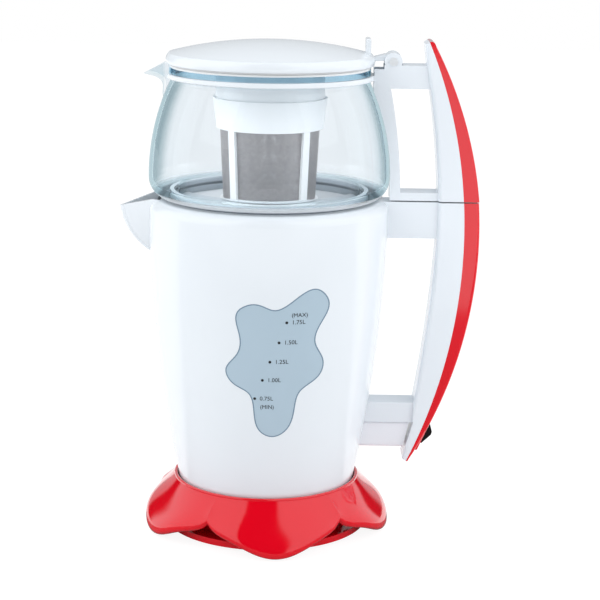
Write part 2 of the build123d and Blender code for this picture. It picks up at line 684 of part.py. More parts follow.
BEAK_HEIGHTS = [NECK_Z + rise for rise in (-15.0, -8.0, -3.4, 0.4, 2.2, 3.4, 14.5)]
BEAK_TIPS = [-NECK_R - out for out in (6.0, 5.2, 5.0, 7.0, 10.0, 14.0, 16.0)]
BEAK_WIDTHS = (3.6, 7.0, 9.5, 11.5, 12.5, 13.5, 16.0)
BEAK_T = 2.4
BEAK_GAP_W = 34.0
with BuildPart() as beak:
    loft(sections=[
        beak_section(z, tip, 4.5 - NECK_R, w, 3.0)
        for z, tip, w in zip(BEAK_HEIGHTS, BEAK_TIPS, BEAK_WIDTHS)
    ])
    add(pot_shape.part, mode=Mode.SUBTRACT)
    add(above(BEAK_RIM, 8.0, 20.0), mode=Mode.SUBTRACT)
    add(ring(0, NECK_R + 0.6, GLASS_TOP_Z, LID_TOP_Z), mode=Mode.SUBTRACT)

with BuildPart() as beak_channel:
    loft(sections=[
        beak_section(z + BEAK_T, tip + BEAK_T, 8.5 - NECK_R, w - BEAK_T, 1.4)
        for z, tip, w in zip(BEAK_HEIGHTS, BEAK_TIPS, BEAK_WIDTHS)
    ])

with BuildPart() as pot_glass:
    add(pot_shape.part)
    add(beak.part)
    add(pot_body(-GLASS_T), mode=Mode.SUBTRACT)
    with BuildSketch(Plane.XZ):
        with BuildLine():
            inner = (BULGE_R - GLASS_T, BULGE_Z)
            shelf = (inner[0] - 5.5, SHELF_Z)
            well_r = PLUG_R - GLASS_T
            TangentArc(inner, shelf, tangent=(0, -1))
            Polyline(
                shelf, (well_r, SHELF_Z), (well_r, PLUG_LOW_Z + GLASS_T), (0, PLUG_LOW_Z + GLASS_T),
                (0, BULGE_Z), inner,
            )
        make_face()
    revolve(axis=Axis.Z, mode=Mode.SUBTRACT)
    add(beak_channel.part, mode=Mode.SUBTRACT)
pot_glass.part.label = "pot_glass"

# --- pot_collar: white band round the neck, open at the beak
with BuildPart() as pot_collar:
    add(ring(NECK_R, NECK_R + BAND_T, BAND_LOW_Z, BAND_TOP_Z))
    fillet(pot_collar.edges().sort_by(SortBy.LENGTH)[-2:], 0.8)
    with BuildSketch(Plane.XY.offset(NECK_Z)):
        with Locations((-NECK_R, 0)):
            Rectangle(60.0, BEAK_GAP_W)
    extrude(amount=20.0, mode=Mode.SUBTRACT)
pot_collar.part.label = "pot_collar"

# --- pot_handle: arms, strap down the glass, grip and horn
HORN_TOP = (NECK_R + 39.7, LID_TOP_Z + 1.1)
HORN_IN = (HORN_TOP[0] - 2.6, HORN_TOP[1] - 1.7)
SEAT_Z = DECK_TOP_Z + 0.4
POT_SPLIT_FOOT = (SPLIT_TOP[0] - 0.2, SEAT_Z)
POT_SPLIT_BOW = 5.05
POT_OUTER_TOP = (HORN_TOP[0] + 4.2, HORN_TOP[1] - 1.9)
POT_OUTER_FOOT = (OUTER_TOP[0] + 0.1, SEAT_Z)
POT_OUTER_BOW = 5.85
POT_ARM_TOP_Z = GLASS_TOP_Z + 3.4
POT_ARM_LOW_Z = POT_ARM_TOP_Z - 16.1
POT_BAR_TOP_Z = SEAT_Z + 5.6
POT_REACH_TOP = (HORN_TOP[0] + 1.5, POT_ARM_LOW_Z)
POT_REACH_FOOT = (POT_SPLIT_FOOT[0] - 18.2, POT_BAR_TOP_Z)
STRAP_TOP = (NECK_R + 13.8, POT_ARM_LOW_Z)
STRAP_FOOT = (BULGE_R + 7.3, SEAT_Z)
STRAP_BOW = 1.9
HINGE = (LID_R + 12.3, LID_EDGE_Z + 3.0)
KNUCKLE_R = 6.2
KNUCKLE_W = 12.0
PIN_R = 1.8
HINGE_PLANE = Plane(origin=(HINGE[0], 0, HINGE[1]), x_dir=(1, 0, 0), z_dir=(0, -1, 0))
EAR_SLOT_W = KNUCKLE_W + 2 * GAP
SLOT_REACH = HINGE[0] + KNUCKLE_R + 0.7
SLOT_LOW_Z = HINGE[1] - KNUCKLE_R - 0.6

with BuildPart() as hinge_slot:
    add(side_plate(
        (NECK_R, SLOT_LOW_Z), (SLOT_REACH, SLOT_LOW_Z), (SLOT_REACH, LID_TOP_Z), (NECK_R, LID_TOP_Z),
        width=EAR_SLOT_W,
    ))

with BuildPart() as pot_handle:
    with BuildSketch(Plane.XZ):
        with BuildLine():
            bow_line(HORN_TOP, POT_SPLIT_FOOT, POT_SPLIT_BOW)
            Polyline(POT_SPLIT_FOOT, (POT_REACH_FOOT[0], SEAT_Z), POT_REACH_FOOT)
            bow_line(POT_REACH_FOOT, POT_REACH_TOP, 1.1)
            Polyline(POT_REACH_TOP, (POT_REACH_TOP[0] - 2.7, POT_ARM_TOP_Z + 2.0), HORN_IN, HORN_TOP)
        make_face()
    extrude(amount=GRIP_W / 2, both=True)
    fillet(side_edges(pot_handle, bowed(POT_REACH_FOOT, POT_REACH_TOP, 1.1)), GRIP_ROUND)
    arm_in = NECK_R + 0.5
    arm_out = POT_REACH_TOP[0] + 1.3
    ear_x = NECK_R + 8.9
    ear_z = GLASS_TOP_Z + 0.6
    add(side_plate(
        (arm_in, ear_z), (ear_x, ear_z), (ear_x, POT_ARM_TOP_Z), (arm_out, POT_ARM_TOP_Z),
        (arm_out, POT_ARM_LOW_Z), (arm_in, POT_ARM_LOW_Z), width=ARM_W,
    ))
    add(arm(POT_REACH_FOOT[0] + ARM_LAP, SEAT_Z, POT_BAR_TOP_Z, ARM_W))
    with BuildSketch(Plane.XZ):
        with BuildLine():
            Polyline(STRAP_TOP, (arm_in, POT_ARM_LOW_Z), (arm_in, SEAT_Z), STRAP_FOOT)
            bow_line(STRAP_FOOT, STRAP_TOP, STRAP_BOW)
        make_face()
    extrude(amount=ARM_W / 2, both=True)
    with BuildSketch(HINGE_PLANE):
        Circle(KNUCKLE_R)
    extrude(amount=ARM_W / 2, both=True)
    add(pot_body(0.4), mode=Mode.SUBTRACT)
    add(ring(0, BULGE_R + 0.4, SEAT_Z - 1.0, BULGE_Z), mode=Mode.SUBTRACT)
    add(ring(0, NECK_R + BAND_T, NECK_Z - 8.0, LID_TOP_Z), mode=Mode.SUBTRACT)
    add(hinge_slot.part, mode=Mode.SUBTRACT)
    add(cross_bar(HINGE_PLANE, PIN_R, ARM_W), mode=Mode.SUBTRACT)
pot_handle.part.label = "pot_handle"

with BuildPart() as pot_handle_cover:
    with BuildSketch(Plane.XZ):
        with BuildLine():
            bow_line(HORN_TOP, POT_SPLIT_FOOT, POT_SPLIT_BOW)
            Line(POT_SPLIT_FOOT, POT_OUTER_FOOT)
            bow_line(POT_OUTER_FOOT, POT_OUTER_TOP, POT_OUTER_BOW)
            ThreePointArc(POT_OUTER_TOP, (POT_OUTER_TOP[0] - 1.7, HORN_TOP[1] + 0.1), HORN_TOP)
        make_face()
    extrude(amount=GRIP_W / 2, both=True)
    fillet(side_edges(pot_handle_cover, bowed(POT_OUTER_FOOT, POT_OUTER_TOP, POT_OUTER_BOW)), EDGE_ROUND)
pot_handle_cover.part.label = "pot_handle_cover"

with BuildPart() as hinge_pin:
    add(cross_bar(HINGE_PLANE, PIN_R, ARM_W / 2))
    for side in (-1, 1):
        with BuildSketch(HINGE_PLANE.offset(side * (ARM_W / 2))):
            Circle(PIN_R + 1.2)
        extrude(amount=side * 0.8)
hinge_pin.part.label = "hinge_pin"

# --- infuser: flange on the glass rim, tube, collar, four ribs and the mesh between them
TUBE_R = NECK_R - 32.0
TUBE_T = 1.6
INF_TOP_Z = GLASS_TOP_Z - 20.5
INF_BAND_Z = GLASS_TOP_Z - 42.0
INF_LOW_Z = PLUG_LOW_Z + GLASS_T + 1.2
RIM_T = 1.4
RIM_IN_R = NECK_R - GLASS_T - 1.5
HUB_R = TUBE_R + 2.5
SPOKE_W = 12.0
BAND_R = TUBE_R + 1.9
RIB_TOP_R = TUBE_R - 1.1
RIB_LOW_R = RIB_TOP_R - 2.6
RIB_T = 2.2
RIB_W = 6.0
MESH_T = 0.5


def cone_shell(top_r, low_r, thickness, low, high):
    """Thin cone about the Z axis between two heights."""
    with BuildPart() as shell:
        with BuildSketch(Plane.XZ):
            with BuildLine():
                Polyline(
                    (low_r, low), (top_r, high), (top_r - thickness, high), (low_r - thickness, low),
                    close=True,
                )
            make_face()
        revolve(axis=Axis.Z)
    return shell.part


with BuildPart() as rib_bars:
    with BuildSketch(Plane.XY.offset(INF_LOW_Z)):
        with PolarLocations(0, 2, start_angle=45.0, angular_range=180.0):
            Rectangle(3 * TUBE_R, RIB_W)
    extrude(amount=INF_BAND_Z - INF_LOW_Z)

with BuildPart() as infuser_ribs:
    add(cone_shell(RIB_TOP_R, RIB_LOW_R, RIB_T, INF_LOW_Z, INF_BAND_Z))
    add(rib_bars.part, mode=Mode.INTERSECT)

# --- infuser_rim: ring on the glass, joined to the tube by four spokes
with BuildPart() as infuser_rim:
    with BuildSketch(Plane.XY.offset(GLASS_TOP_Z)):
        with PolarLocations(0, 2, start_angle=45.0, angular_range=180.0):
            Rectangle(2 * RIM_IN_R + 1.0, SPOKE_W)
        Circle(HUB_R)
        Circle(TUBE_R - TUBE_T, mode=Mode.SUBTRACT)
    extrude(amount=RIM_T)
    add(ring(RIM_IN_R, NECK_R - GAP, GLASS_TOP_Z, GLASS_TOP_Z + RIM_T))
infuser_rim.part.label = "infuser_rim"

with BuildPart() as infuser_frame:
    add(ring(TUBE_R - TUBE_T, TUBE_R, INF_TOP_Z, GLASS_TOP_Z))
    add(cone_shell(BAND_R, RIB_TOP_R + 0.4, RIB_T + 0.4, INF_BAND_Z, INF_TOP_Z))
    add(infuser_ribs.part)
    add(ring(RIB_LOW_R - RIB_T - 1.4, RIB_LOW_R, INF_LOW_Z, INF_LOW_Z + 2.5))
infuser_frame.part.label = "infuser_frame"

with BuildPart() as infuser_mesh:
    add(cone_shell(RIB_TOP_R - RIB_T, RIB_LOW_R - RIB_T, MESH_T, INF_LOW_Z, INF_BAND_Z))
    add(ring(0, RIB_LOW_R, INF_LOW_Z - 1.0, INF_LOW_Z + 2.5), mode=Mode.SUBTRACT)
infuser_mesh.part.label = "infuser_mesh"

with BuildPart() as infuser_floor:
    add(ring(0, RIB_LOW_R - RIB_T - 1.4, INF_LOW_Z + 0.8, INF_LOW_Z + 1.4))
infuser_floor.part.label = "infuser_floor"

# =============================================================================
# Lid
# =============================================================================
LID_T = 2.3
RIB_OUT_R = LID_R - 7.4
RIB_IN_R = RIB_OUT_R - 2.0
CREASE_R = LID_R - 2.0
CREASE_Z = LID_TOP_Z - 9.0
CREASE_GAP = 0.15
LEDGE_T = 1.6
SHOULDER_Z = LID_EDGE_Z + 2.8
TAB_IN = LID_R - 7.0
TAB_OUT = TAB_IN + 3.5
TAB_W = 18.0
TAB_TOP_Z = LID_TOP_Z + 2.4

# --- lid_cap: the dome with its thumb tab, set in the rim
with BuildPart() as lid_cap:
    add(side_plate(
        (TAB_IN, CREASE_Z), (TAB_IN, TAB_TOP_Z), (TAB_OUT, TAB_TOP_Z), (TAB_OUT, CREASE_Z - 1.0),
        width=TAB_W,
    ))
    fillet(lid_cap.edges().group_by(Axis.Z)[-1], 1.2)
    with BuildSketch(Plane.XZ):
        with BuildLine():
            TangentArc((0, LID_TOP_Z), (CREASE_R, CREASE_Z), tangent=(1, 0))
            Line((CREASE_R, CREASE_Z), (CREASE_R, CREASE_Z - LID_T))
            TangentArc((0, LID_TOP_Z - LID_T), (CREASE_R, CREASE_Z - LID_T), tangent=(1, 0))
            Line((0, LID_TOP_Z - LID_T), (0, LID_TOP_Z))
        make_face()
    revolve(axis=Axis.Z)
lid_cap.part.label = "lid_cap"

# --- lid_rim: edge, ledge under the dome, inner rib and knuckle
with BuildPart() as lid_rim:
    with BuildSketch(Plane.XZ):
        with BuildLine():
            ledge_z = CREASE_Z - LID_T
            Polyline(
                (CREASE_R, CREASE_Z - CREASE_GAP), (CREASE_R, ledge_z), (RIB_IN_R, ledge_z),
                (RIB_IN_R, ledge_z - LEDGE_T), (LID_R - LID_T, ledge_z - LEDGE_T),
                (LID_R - LID_T, LID_EDGE_Z), (LID_R - 0.4, LID_EDGE_Z),
            )
            ThreePointArc(
                (LID_R - 0.4, LID_EDGE_Z), (LID_R, SHOULDER_Z), (CREASE_R, CREASE_Z - CREASE_GAP)
            )
        make_face()
    revolve(axis=Axis.Z)
    add(ring(RIB_IN_R, RIB_OUT_R, LID_EDGE_Z - 0.8, ledge_z - LEDGE_T / 2))
    add(side_plate(
        (LID_R - 1.4, SHOULDER_Z + 2.6), (HINGE[0], HINGE[1] + KNUCKLE_R - 0.2), HINGE,
        (HINGE[0] - 5.7, SHOULDER_Z + 0.4), (LID_R - 1.4, SHOULDER_Z), width=KNUCKLE_W,
    ))
    with BuildSketch(HINGE_PLANE):
        Circle(KNUCKLE_R - 0.2)
    extrude(amount=KNUCKLE_W / 2, both=True)
    add(cross_bar(HINGE_PLANE, PIN_R + RUN_FIT, KNUCKLE_W), mode=Mode.SUBTRACT)
lid_rim.part.label = "lid_rim"

with BuildPart() as lid_gasket:
    add(ring(RIB_OUT_R, LID_R - LID_T, GLASS_TOP_Z + RIM_T + GAP, LID_EDGE_Z + 1.0))
lid_gasket.part.label = "lid_gasket"

PIECES = [
    base_skirt, base_pan, base_screws, base_foot, cord_outlet, base_connector, connector_contacts,
    kettle_coupler, coupler_contacts, kettle_shell, kettle_spout, gauge_window, kettle_base_housing,
    seat_ring, heating_plate, plate_seal, heating_element, thermostat, kettle_handle,
    kettle_handle_cover, switch_box, switch_bezel, switch_body, switch_rocker, kettle_handle_screws,
    pot_glass, pot_collar, pot_handle, pot_handle_cover, hinge_pin, infuser_rim, infuser_frame,
    infuser_mesh, infuser_floor, lid_cap, lid_rim, lid_gasket,
]
for piece in PIECES:
    export_step(piece.part, f"parts/{piece.part.label}.step")
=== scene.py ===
import json
from math import cos, pi, radians, sin, sqrt

import bmesh
import bpy
from mathutils import Matrix, Vector


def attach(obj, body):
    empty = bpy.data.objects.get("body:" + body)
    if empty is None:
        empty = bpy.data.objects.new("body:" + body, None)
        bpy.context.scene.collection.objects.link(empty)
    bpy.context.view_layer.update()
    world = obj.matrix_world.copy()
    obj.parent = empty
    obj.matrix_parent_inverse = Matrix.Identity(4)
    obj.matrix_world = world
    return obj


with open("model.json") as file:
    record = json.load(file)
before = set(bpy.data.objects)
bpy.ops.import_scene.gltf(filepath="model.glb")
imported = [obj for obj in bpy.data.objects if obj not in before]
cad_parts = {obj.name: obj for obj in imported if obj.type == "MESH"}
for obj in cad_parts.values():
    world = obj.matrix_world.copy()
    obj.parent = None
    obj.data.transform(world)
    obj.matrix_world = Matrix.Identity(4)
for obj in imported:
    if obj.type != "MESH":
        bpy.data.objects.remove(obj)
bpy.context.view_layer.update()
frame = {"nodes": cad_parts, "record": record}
NODES = frame["nodes"]
scene = bpy.context.scene
scene.view_settings.view_transform = "Standard"

MM = 0.001
BLANK = (1, 1, 1)


# --- node helpers -------------------------------------------------------------
class Graph:
    """Short ways to add and join the nodes of one tree."""

    def __init__(self, tree):
        self.tree = tree

    def node(self, kind, **values):
        made = self.tree.nodes.new(kind)
        for key, value in values.items():
            setattr(made, key, value)
        return made

    def feed(self, value, socket):
        """Joins an output to a socket, or sets the socket to a number or a colour."""
        if isinstance(value, bpy.types.NodeSocket):
            self.tree.links.new(value, socket)
        elif isinstance(value, tuple):
            socket.default_value = (*value, 1)
        else:
            socket.default_value = value

    def math(self, operation, *values, clamped=False):
        step = self.node("ShaderNodeMath", operation=operation, use_clamp=clamped)
        for value, socket in zip(values, step.inputs):
            self.feed(value, socket)
        return step.outputs[0]

    def ranged(self, value, source, target=(0.0, 1.0)):
        """Maps one range onto another and holds the value at its ends."""
        mapped = self.node("ShaderNodeMapRange")
        for name, limit in zip(("From Min", "From Max", "To Min", "To Max"), (*source, *target)):
            mapped.inputs[name].default_value = limit
        self.feed(value, mapped.inputs["Value"])
        return mapped.outputs["Result"]

    def span(self, value, low, high):
        """Maps 0 to 1 onto low to high."""
        return self.ranged(value, (0.0, 1.0), (low, high))

    def varied(self, value, middle, shares):
        """Maps 0 to 1 onto the lower to the upper share of a middle value."""
        return self.span(value, middle * shares[0], middle * shares[1])

    def ramp(self, value, stops):
        """Colour ramp through stops of a position and a colour, in rising order."""
        ramp = self.node("ShaderNodeValToRGB")
        elements = ramp.color_ramp.elements
        for position, colour in stops[1:-1]:
            elements.new(position).color = (*colour, 1)
        for end in (0, -1):
            position, colour = stops[end]
            elements[end].position = position
            elements[end].color = (*colour, 1)
        self.feed(value, ramp.inputs["Fac"])
        return ramp.outputs["Color"]

    def mix(self, share, first, second, blend="MIX"):
        """Blends the second colour into the first by a share."""
        mixed = self.node("ShaderNodeMix", data_type="RGBA", blend_type=blend)
        for value, name in ((share, "Factor"), (first, "A"), (second, "B")):
            self.feed(value, mixed.inputs[name])
        return mixed.outputs["Result"]

    def split(self, vector):
        """The x, y and z of a vector."""
        parts = self.node("ShaderNodeSeparateXYZ")
        self.feed(vector, parts.inputs[0])
        return tuple(parts.outputs)

    def rays(self, *kinds):
        """1 for rays of any of these kinds, 0 for the rest."""
        path = self.node("ShaderNodeLightPath")
        any_ray = path.outputs[kinds[0]]
        for kind in kinds[1:]:
            any_ray = self.math("MAXIMUM", any_ray, path.outputs[kind])
        return any_ray


RELIEF = 0.00005  # depth of the finest relief, in metres


class Mat(Graph):
    """A material with its shader and its place in object space, in metres."""

    def __init__(self, name):
        self.material = bpy.data.materials.new(name)
        self.material.use_nodes = True
        super().__init__(self.material.node_tree)
        self.shader = self.tree.nodes["Principled BSDF"]
        self.output = self.tree.nodes["Material Output"]
        self.place = self.node("ShaderNodeTexCoord").outputs["Object"]

    def set(self, **values):
        """Feeds sockets of the shader, named with _ for a space."""
        for key, value in values.items():
            self.feed(value, self.shader.inputs[key.replace("_", " ")])

    def noise(self, scale, detail=3.0, stretch=(1, 1, 1)):
        """Noise in object space, scale in features per metre."""
        mapping = self.node("ShaderNodeMapping")
        mapping.inputs["Scale"].default_value = stretch
        self.feed(self.place, mapping.inputs["Vector"])
        noise = self.node("ShaderNodeTexNoise")
        noise.inputs["Scale"].default_value = scale
        noise.inputs["Detail"].default_value = detail
        self.feed(mapping.outputs["Vector"], noise.inputs["Vector"])
        return noise.outputs["Fac"]

    def tint(self, value, dark, light):
        """Colour ramp between two colours."""
        return self.ramp(value, [(0, dark), (1, light)])

    def bump(self, height, strength):
        bump = self.node("ShaderNodeBump")
        bump.inputs["Strength"].default_value = strength
        bump.inputs["Distance"].default_value = RELIEF
        self.feed(height, bump.inputs["Height"])
        self.set(Normal=bump.outputs["Normal"])


# --- plastic and steel: noise scales in features per metre ---------------------
COLOUR_DRIFT = 14
GLOSS_DRIFT = 60
SKIN = 900
PLASTIC_GLOSS = (0.9, 1.1)
PLASTIC_IOR = 1.5
LACQUER_ROUGH = 0.06
STREAKS = 240
STREAK_DARK = 0.85
STREAK_GLOSS = (0.7, 1.4)
STREAK_RELIEF = 0.12


def plastic(name, dark, light, rough, coat=0.0, grain=0.05, shine=0.5):
    """Moulded plastic: faint colour drift, uneven gloss and a very fine skin."""
    mat = Mat(name)
    mat.set(
        Base_Color=mat.tint(mat.noise(COLOUR_DRIFT), dark, light),
        Roughness=mat.varied(mat.noise(GLOSS_DRIFT), rough, PLASTIC_GLOSS),
        IOR=PLASTIC_IOR,
        Specular_IOR_Level=shine,
        Coat_Weight=coat,
        Coat_Roughness=LACQUER_ROUGH,
    )
    mat.bump(mat.noise(SKIN, 2.0), grain)
    return mat.material


def steel(name, tone, rough, stretch, metal=1.0):
    """Brushed steel: fine streaks in the gloss and the tone."""
    mat = Mat(name)
    streaks = mat.noise(STREAKS, 4.0, stretch)
    mat.set(
        Base_Color=mat.tint(streaks, [c * STREAK_DARK for c in tone], tone),
        Roughness=mat.varied(streaks, rough, STREAK_GLOSS),
        Metallic=metal,
    )
    mat.bump(streaks, STREAK_RELIEF)
    return mat.material


# --- clear glass: places in metres; neck, beak and a painted shadow at the pot's base multiply the wall's tint -
FACE_CLEAR = (0.903, 0.92, 0.941)
EDGE_TEAL = (0.60, 0.67, 0.70)
EDGE_STOPS = [(0.50, FACE_CLEAR), (0.64, EDGE_TEAL)]  # by angle, 0 is face-on
UPRIGHT = (0.8, 0.5)  # z of the normal on flat glass and on upright walls
LIT_SIDE_X = (-0.02, 0.05)  # painted light: the tinted edge narrows over this x, towards the handle, so that side of the glass stands lighter
LIT_SIDE_SHARE = 0.86
NECK_BLUE = (0.45, 0.665, 0.79)
NECK_BAND = (0.325, 0.331)
NECK_OUT = 0.0712
BEAK_TEAL = (0.88, 0.92, 0.935)
BEAK_X = -0.0745
BEAK_Z = 0.312
# Painted shadow: a dark line round the pot's base, in the gap where it sits on the kettle; its
# span of heights, the radius outside which it is painted, and its shade by height.
FOOT_SHADOW_SPAN = (0.238, 0.248)
FOOT_SHADOW_OUT = 0.0665
FOOT_PAINTED_SHADOW = [
    (0.0, BLANK),
    (0.36, (0.80, 0.82, 0.84)),
    (0.45, (0.17, 0.19, 0.21)),
    (0.54, (0.22, 0.245, 0.27)),
    (0.66, (0.90, 0.915, 0.93)),
    (1.0, BLANK),
]
FLOOR_Z = (0.2490, 0.2480)  # where the floor's milk starts and where it is full
MILK = 0.8
GLASS_IOR = 1.01
GLASS_DRIFT = 30
GLASS_GLOSS = (0.5, 1.5)
COAT_IOR = 1.5
COAT_ROUGH = 0.02
COAT_ANGLE = (0.6, 0.85)  # the coat fades from face-on to the edges between these
COAT_WEIGHT = (0.4, 0.05)


def from_axis(mat, x, y):
    """Distance from the upright axis."""
    flat = mat.node("ShaderNodeCombineXYZ")
    mat.feed(x, flat.inputs["X"])
    mat.feed(y, flat.inputs["Y"])
    length = mat.node("ShaderNodeVectorMath", operation="LENGTH")
    mat.feed(flat.outputs[0], length.inputs[0])
    return length.outputs["Value"]


def glass_tint_painted_light_and_shade(mat, side, x, z, radius):
    """Teal towards the edges, thinned on the handle side as painted light, with a blue neck band,
    a teal beak and a painted shadow line at the pot's base.
    """
    # painted light: the edge's teal is thinned towards the handle side
    lit_side_narrowed = mat.math("MULTIPLY", side, mat.ranged(x, LIT_SIDE_X, (1.0, LIT_SIDE_SHARE)))
    wall = mat.ramp(lit_side_narrowed, EDGE_STOPS)
    neck = mat.math("MULTIPLY", mat.ranged(z, NECK_BAND), mat.math("LESS_THAN", radius, NECK_OUT))
    banded = mat.mix(neck, wall, NECK_BLUE, "MULTIPLY")
    beak = mat.math(
        "MULTIPLY", mat.math("LESS_THAN", x, BEAK_X), mat.math("GREATER_THAN", z, BEAK_Z)
    )
    beaked = mat.mix(beak, banded, BEAK_TEAL, "MULTIPLY")
    # painted shadow: the dark line at the pot's base, outside the seat ring
    foot_shadow = mat.math("GREATER_THAN", radius, FOOT_SHADOW_OUT)
    return mat.mix(foot_shadow, beaked, mat.ramp(mat.ranged(z, FOOT_SHADOW_SPAN), FOOT_PAINTED_SHADOW), "MULTIPLY")


def clear(name, colour, rough, density):
    """Clear wall with a polished coat; its colour grows with depth, its floor is milky."""
    mat = Mat(name)
    x, y, z = mat.split(mat.place)
    facing = mat.node("ShaderNodeLayerWeight").outputs["Facing"]
    normal = mat.node("ShaderNodeNewGeometry").outputs["Normal"]
    upright = mat.ranged(mat.math("ABSOLUTE", mat.split(normal)[2]), UPRIGHT)
    side = mat.math("MULTIPLY", facing, upright)
    milky = mat.math("SUBTRACT", mat.ranged(z, FLOOR_Z), upright, clamped=True)
    mat.set(
        Base_Color=glass_tint_painted_light_and_shade(mat, side, x, z, from_axis(mat, x, y)),
        Roughness=mat.varied(mat.noise(GLASS_DRIFT), rough, GLASS_GLOSS),
        IOR=GLASS_IOR,
        Transmission_Weight=mat.span(milky, 1.0, 1.0 - MILK),
        Coat_Weight=mat.ranged(facing, COAT_ANGLE, COAT_WEIGHT),
        Coat_Roughness=COAT_ROUGH,
        Coat_IOR=COAT_IOR,
    )
    depth = mat.node("ShaderNodeVolumeAbsorption")
    mat.feed(colour, depth.inputs["Color"])
    mat.feed(density, depth.inputs["Density"])
    mat.feed(depth.outputs["Volume"], mat.output.inputs["Volume"])
    return mat.material


# --- wire screen --------------------------------------------------------------
WIRE_DARK = (0.42, 0.41, 0.42)
WIRE_LIGHT = (0.56, 0.54, 0.54)
WIRE_DRIFT = 300
WIRE_GLOSS_DRIFT = 500
WIRE_ROUGH = (0.5, 0.7)


def woven(name, around, up, half_wire):
    """Wire screen, its cells counted round the axis and per metre of height.

    The wire covers each cell from its border inwards, by half_wire of the cell's size.
    """
    mat = Mat(name)
    x, y, z = mat.split(mat.place)

    def off_wire(cells):
        """1 where a count of cells is between two wires, 0 on a wire."""
        return mat.math("GREATER_THAN", mat.math("PINGPONG", cells, 0.5), half_wire)

    turn = mat.math("MULTIPLY", mat.math("ARCTAN2", y, x), around / pi / 2)
    hole = mat.math("MULTIPLY", off_wire(turn), off_wire(mat.math("MULTIPLY", z, up)))
    mat.set(
        Base_Color=mat.tint(mat.noise(WIRE_DRIFT), WIRE_DARK, WIRE_LIGHT),
        Roughness=mat.span(mat.noise(WIRE_GLOSS_DRIFT), *WIRE_ROUGH),
        Metallic=1.0,
        Alpha=mat.math("SUBTRACT", 1.0, hole),
    )
    return mat.material


# --- looks of the nodes: two colours and roughness, or tone, roughness, stretch --
WHITE = plastic("white_plastic", (0.775, 0.825, 0.875), (0.795, 0.845, 0.892), 0.22, 0.3)
# painted shade: a bluer copy of the white plastic for the handles, whose flanks stand in bluish
# shade
BLUE_SHADE_WHITE = plastic("white_plastic_painted_blue_shade", (0.80, 0.855, 0.915), (0.81, 0.863, 0.92), 0.26, 0.3)
# painted light: a lighter copy of the white plastic for the switch box, which the kettle shades
LIT_BOX_WHITE = plastic("box_white_painted_light", (0.865, 0.895, 0.955), (0.88, 0.91, 0.965), 0.3, 0.3)
# painted light: a lighter white for the infuser, which sits in shade under the lid inside the
# glass
LIT_INFUSER_WHITE = plastic("infuser_white_painted_light", (0.87, 0.89, 0.90), (0.89, 0.905, 0.915), 0.35)
RED = plastic("red_plastic", (0.70, 0.0, 0.009), (0.76, 0.0, 0.012), 0.10, 0.9)
BLACK = plastic("black_plastic", (0.008, 0.008, 0.009), (0.014, 0.014, 0.015), 0.38, shine=0.15)
RUBBER = plastic("rubber", (0.02, 0.02, 0.02), (0.035, 0.035, 0.035), 0.7, grain=0.3)
SILICONE = plastic("silicone", (0.62, 0.63, 0.64), (0.7, 0.71, 0.72), 0.5, grain=0.2)
GAUGE = plastic("gauge_plastic", (0.41, 0.53, 0.62), (0.45, 0.57, 0.67), 0.18, 0.5)
LINE = plastic("gauge_line", (0.17, 0.25, 0.34), (0.20, 0.29, 0.38), 0.25)
INK = plastic("gauge_ink", (0.012, 0.012, 0.014), (0.02, 0.02, 0.024), 0.5)
STEEL = steel("steel", (0.84, 0.86, 0.88), 0.28, (1, 1, 20))
RING = steel("ring_steel", (0.90, 0.93, 0.96), 0.40, (1, 1, 20), metal=0.6)
PALE = steel("pale_steel", (0.90, 0.93, 0.96), 0.6, (1, 1, 8), metal=0.35)
BRASS = steel("brass", (0.7, 0.52, 0.24), 0.25, (1, 1, 8))
GLASS = clear("clear_glass", (0.35, 0.72, 0.80), rough=0.008, density=12.0)
SCREEN = woven("infuser_screen", around=420, up=2000.0, half_wire=0.27)

LOOKS = {
    "red_plastic": RED,
    "white_plastic": WHITE,
    "black_plastic": BLACK,
    "rubber": RUBBER,
    "silicone": SILICONE,
    "gauge_plastic": GAUGE,
    "steel": STEEL,
    "brass": BRASS,
    "clear_glass": GLASS,
}
# nodes with their own look; the handles, the switch box and the infuser get lighter or bluer
# copies of the white plastic as painted light and shade
SPECIAL = {
    "infuser_mesh": SCREEN,
    "infuser_frame": LIT_INFUSER_WHITE,
    "infuser_rim": LIT_INFUSER_WHITE,
    "seat_ring": RING,
    "hinge_pin": PALE,
    "pot_handle": BLUE_SHADE_WHITE,
    "kettle_handle": BLUE_SHADE_WHITE,
    "switch_box": LIT_BOX_WHITE,
}

for subpart in frame["record"]["subparts"]:
    name = subpart["node"]
    shown = NODES[name]
    shown.data.materials.clear()
    shown.data.materials.append(SPECIAL.get(name) or LOOKS[subpart["material_slot"]])
NODES["pot_glass"].visible_shadow = False


# --- thin pieces on the kettle's side: sizes and places in mm -------------------
INK_PROUD = 0.1


def circle_through(p, q, r):
    """Centre and radius of the circle through three points of a plane."""
    (x1, y1), (x2, y2), (x3, y3) = p, q, r
    double = 2 * (x1 * (y2 - y3) + x2 * (y3 - y1) + x3 * (y1 - y2))
    s1, s2, s3 = x1**2 + y1**2, x2**2 + y2**2, x3**2 + y3**2
    cx = (s1 * (y2 - y3) + s2 * (y3 - y1) + s3 * (y1 - y2)) / double
    cy = (s1 * (x3 - x2) + s2 * (x1 - x3) + s3 * (x2 - x1)) / double
    return cx, cy, sqrt((x1 - cx) ** 2 + (y1 - cy) ** 2)


SIDE_LOW = (64.2, 38.5)  # radius and height, as the two below
SIDE_MIDDLE = (79.55, 136.75)
SIDE_TOP = (85.3, 235.0)
SIDE = circle_through(SIDE_LOW, SIDE_MIDDLE, SIDE_TOP)


def kettle_r(z):
    """Radius of the kettle's side at a height."""
    cx, cy, r = SIDE
    return cx + sqrt(r**2 - (z - cy) ** 2)


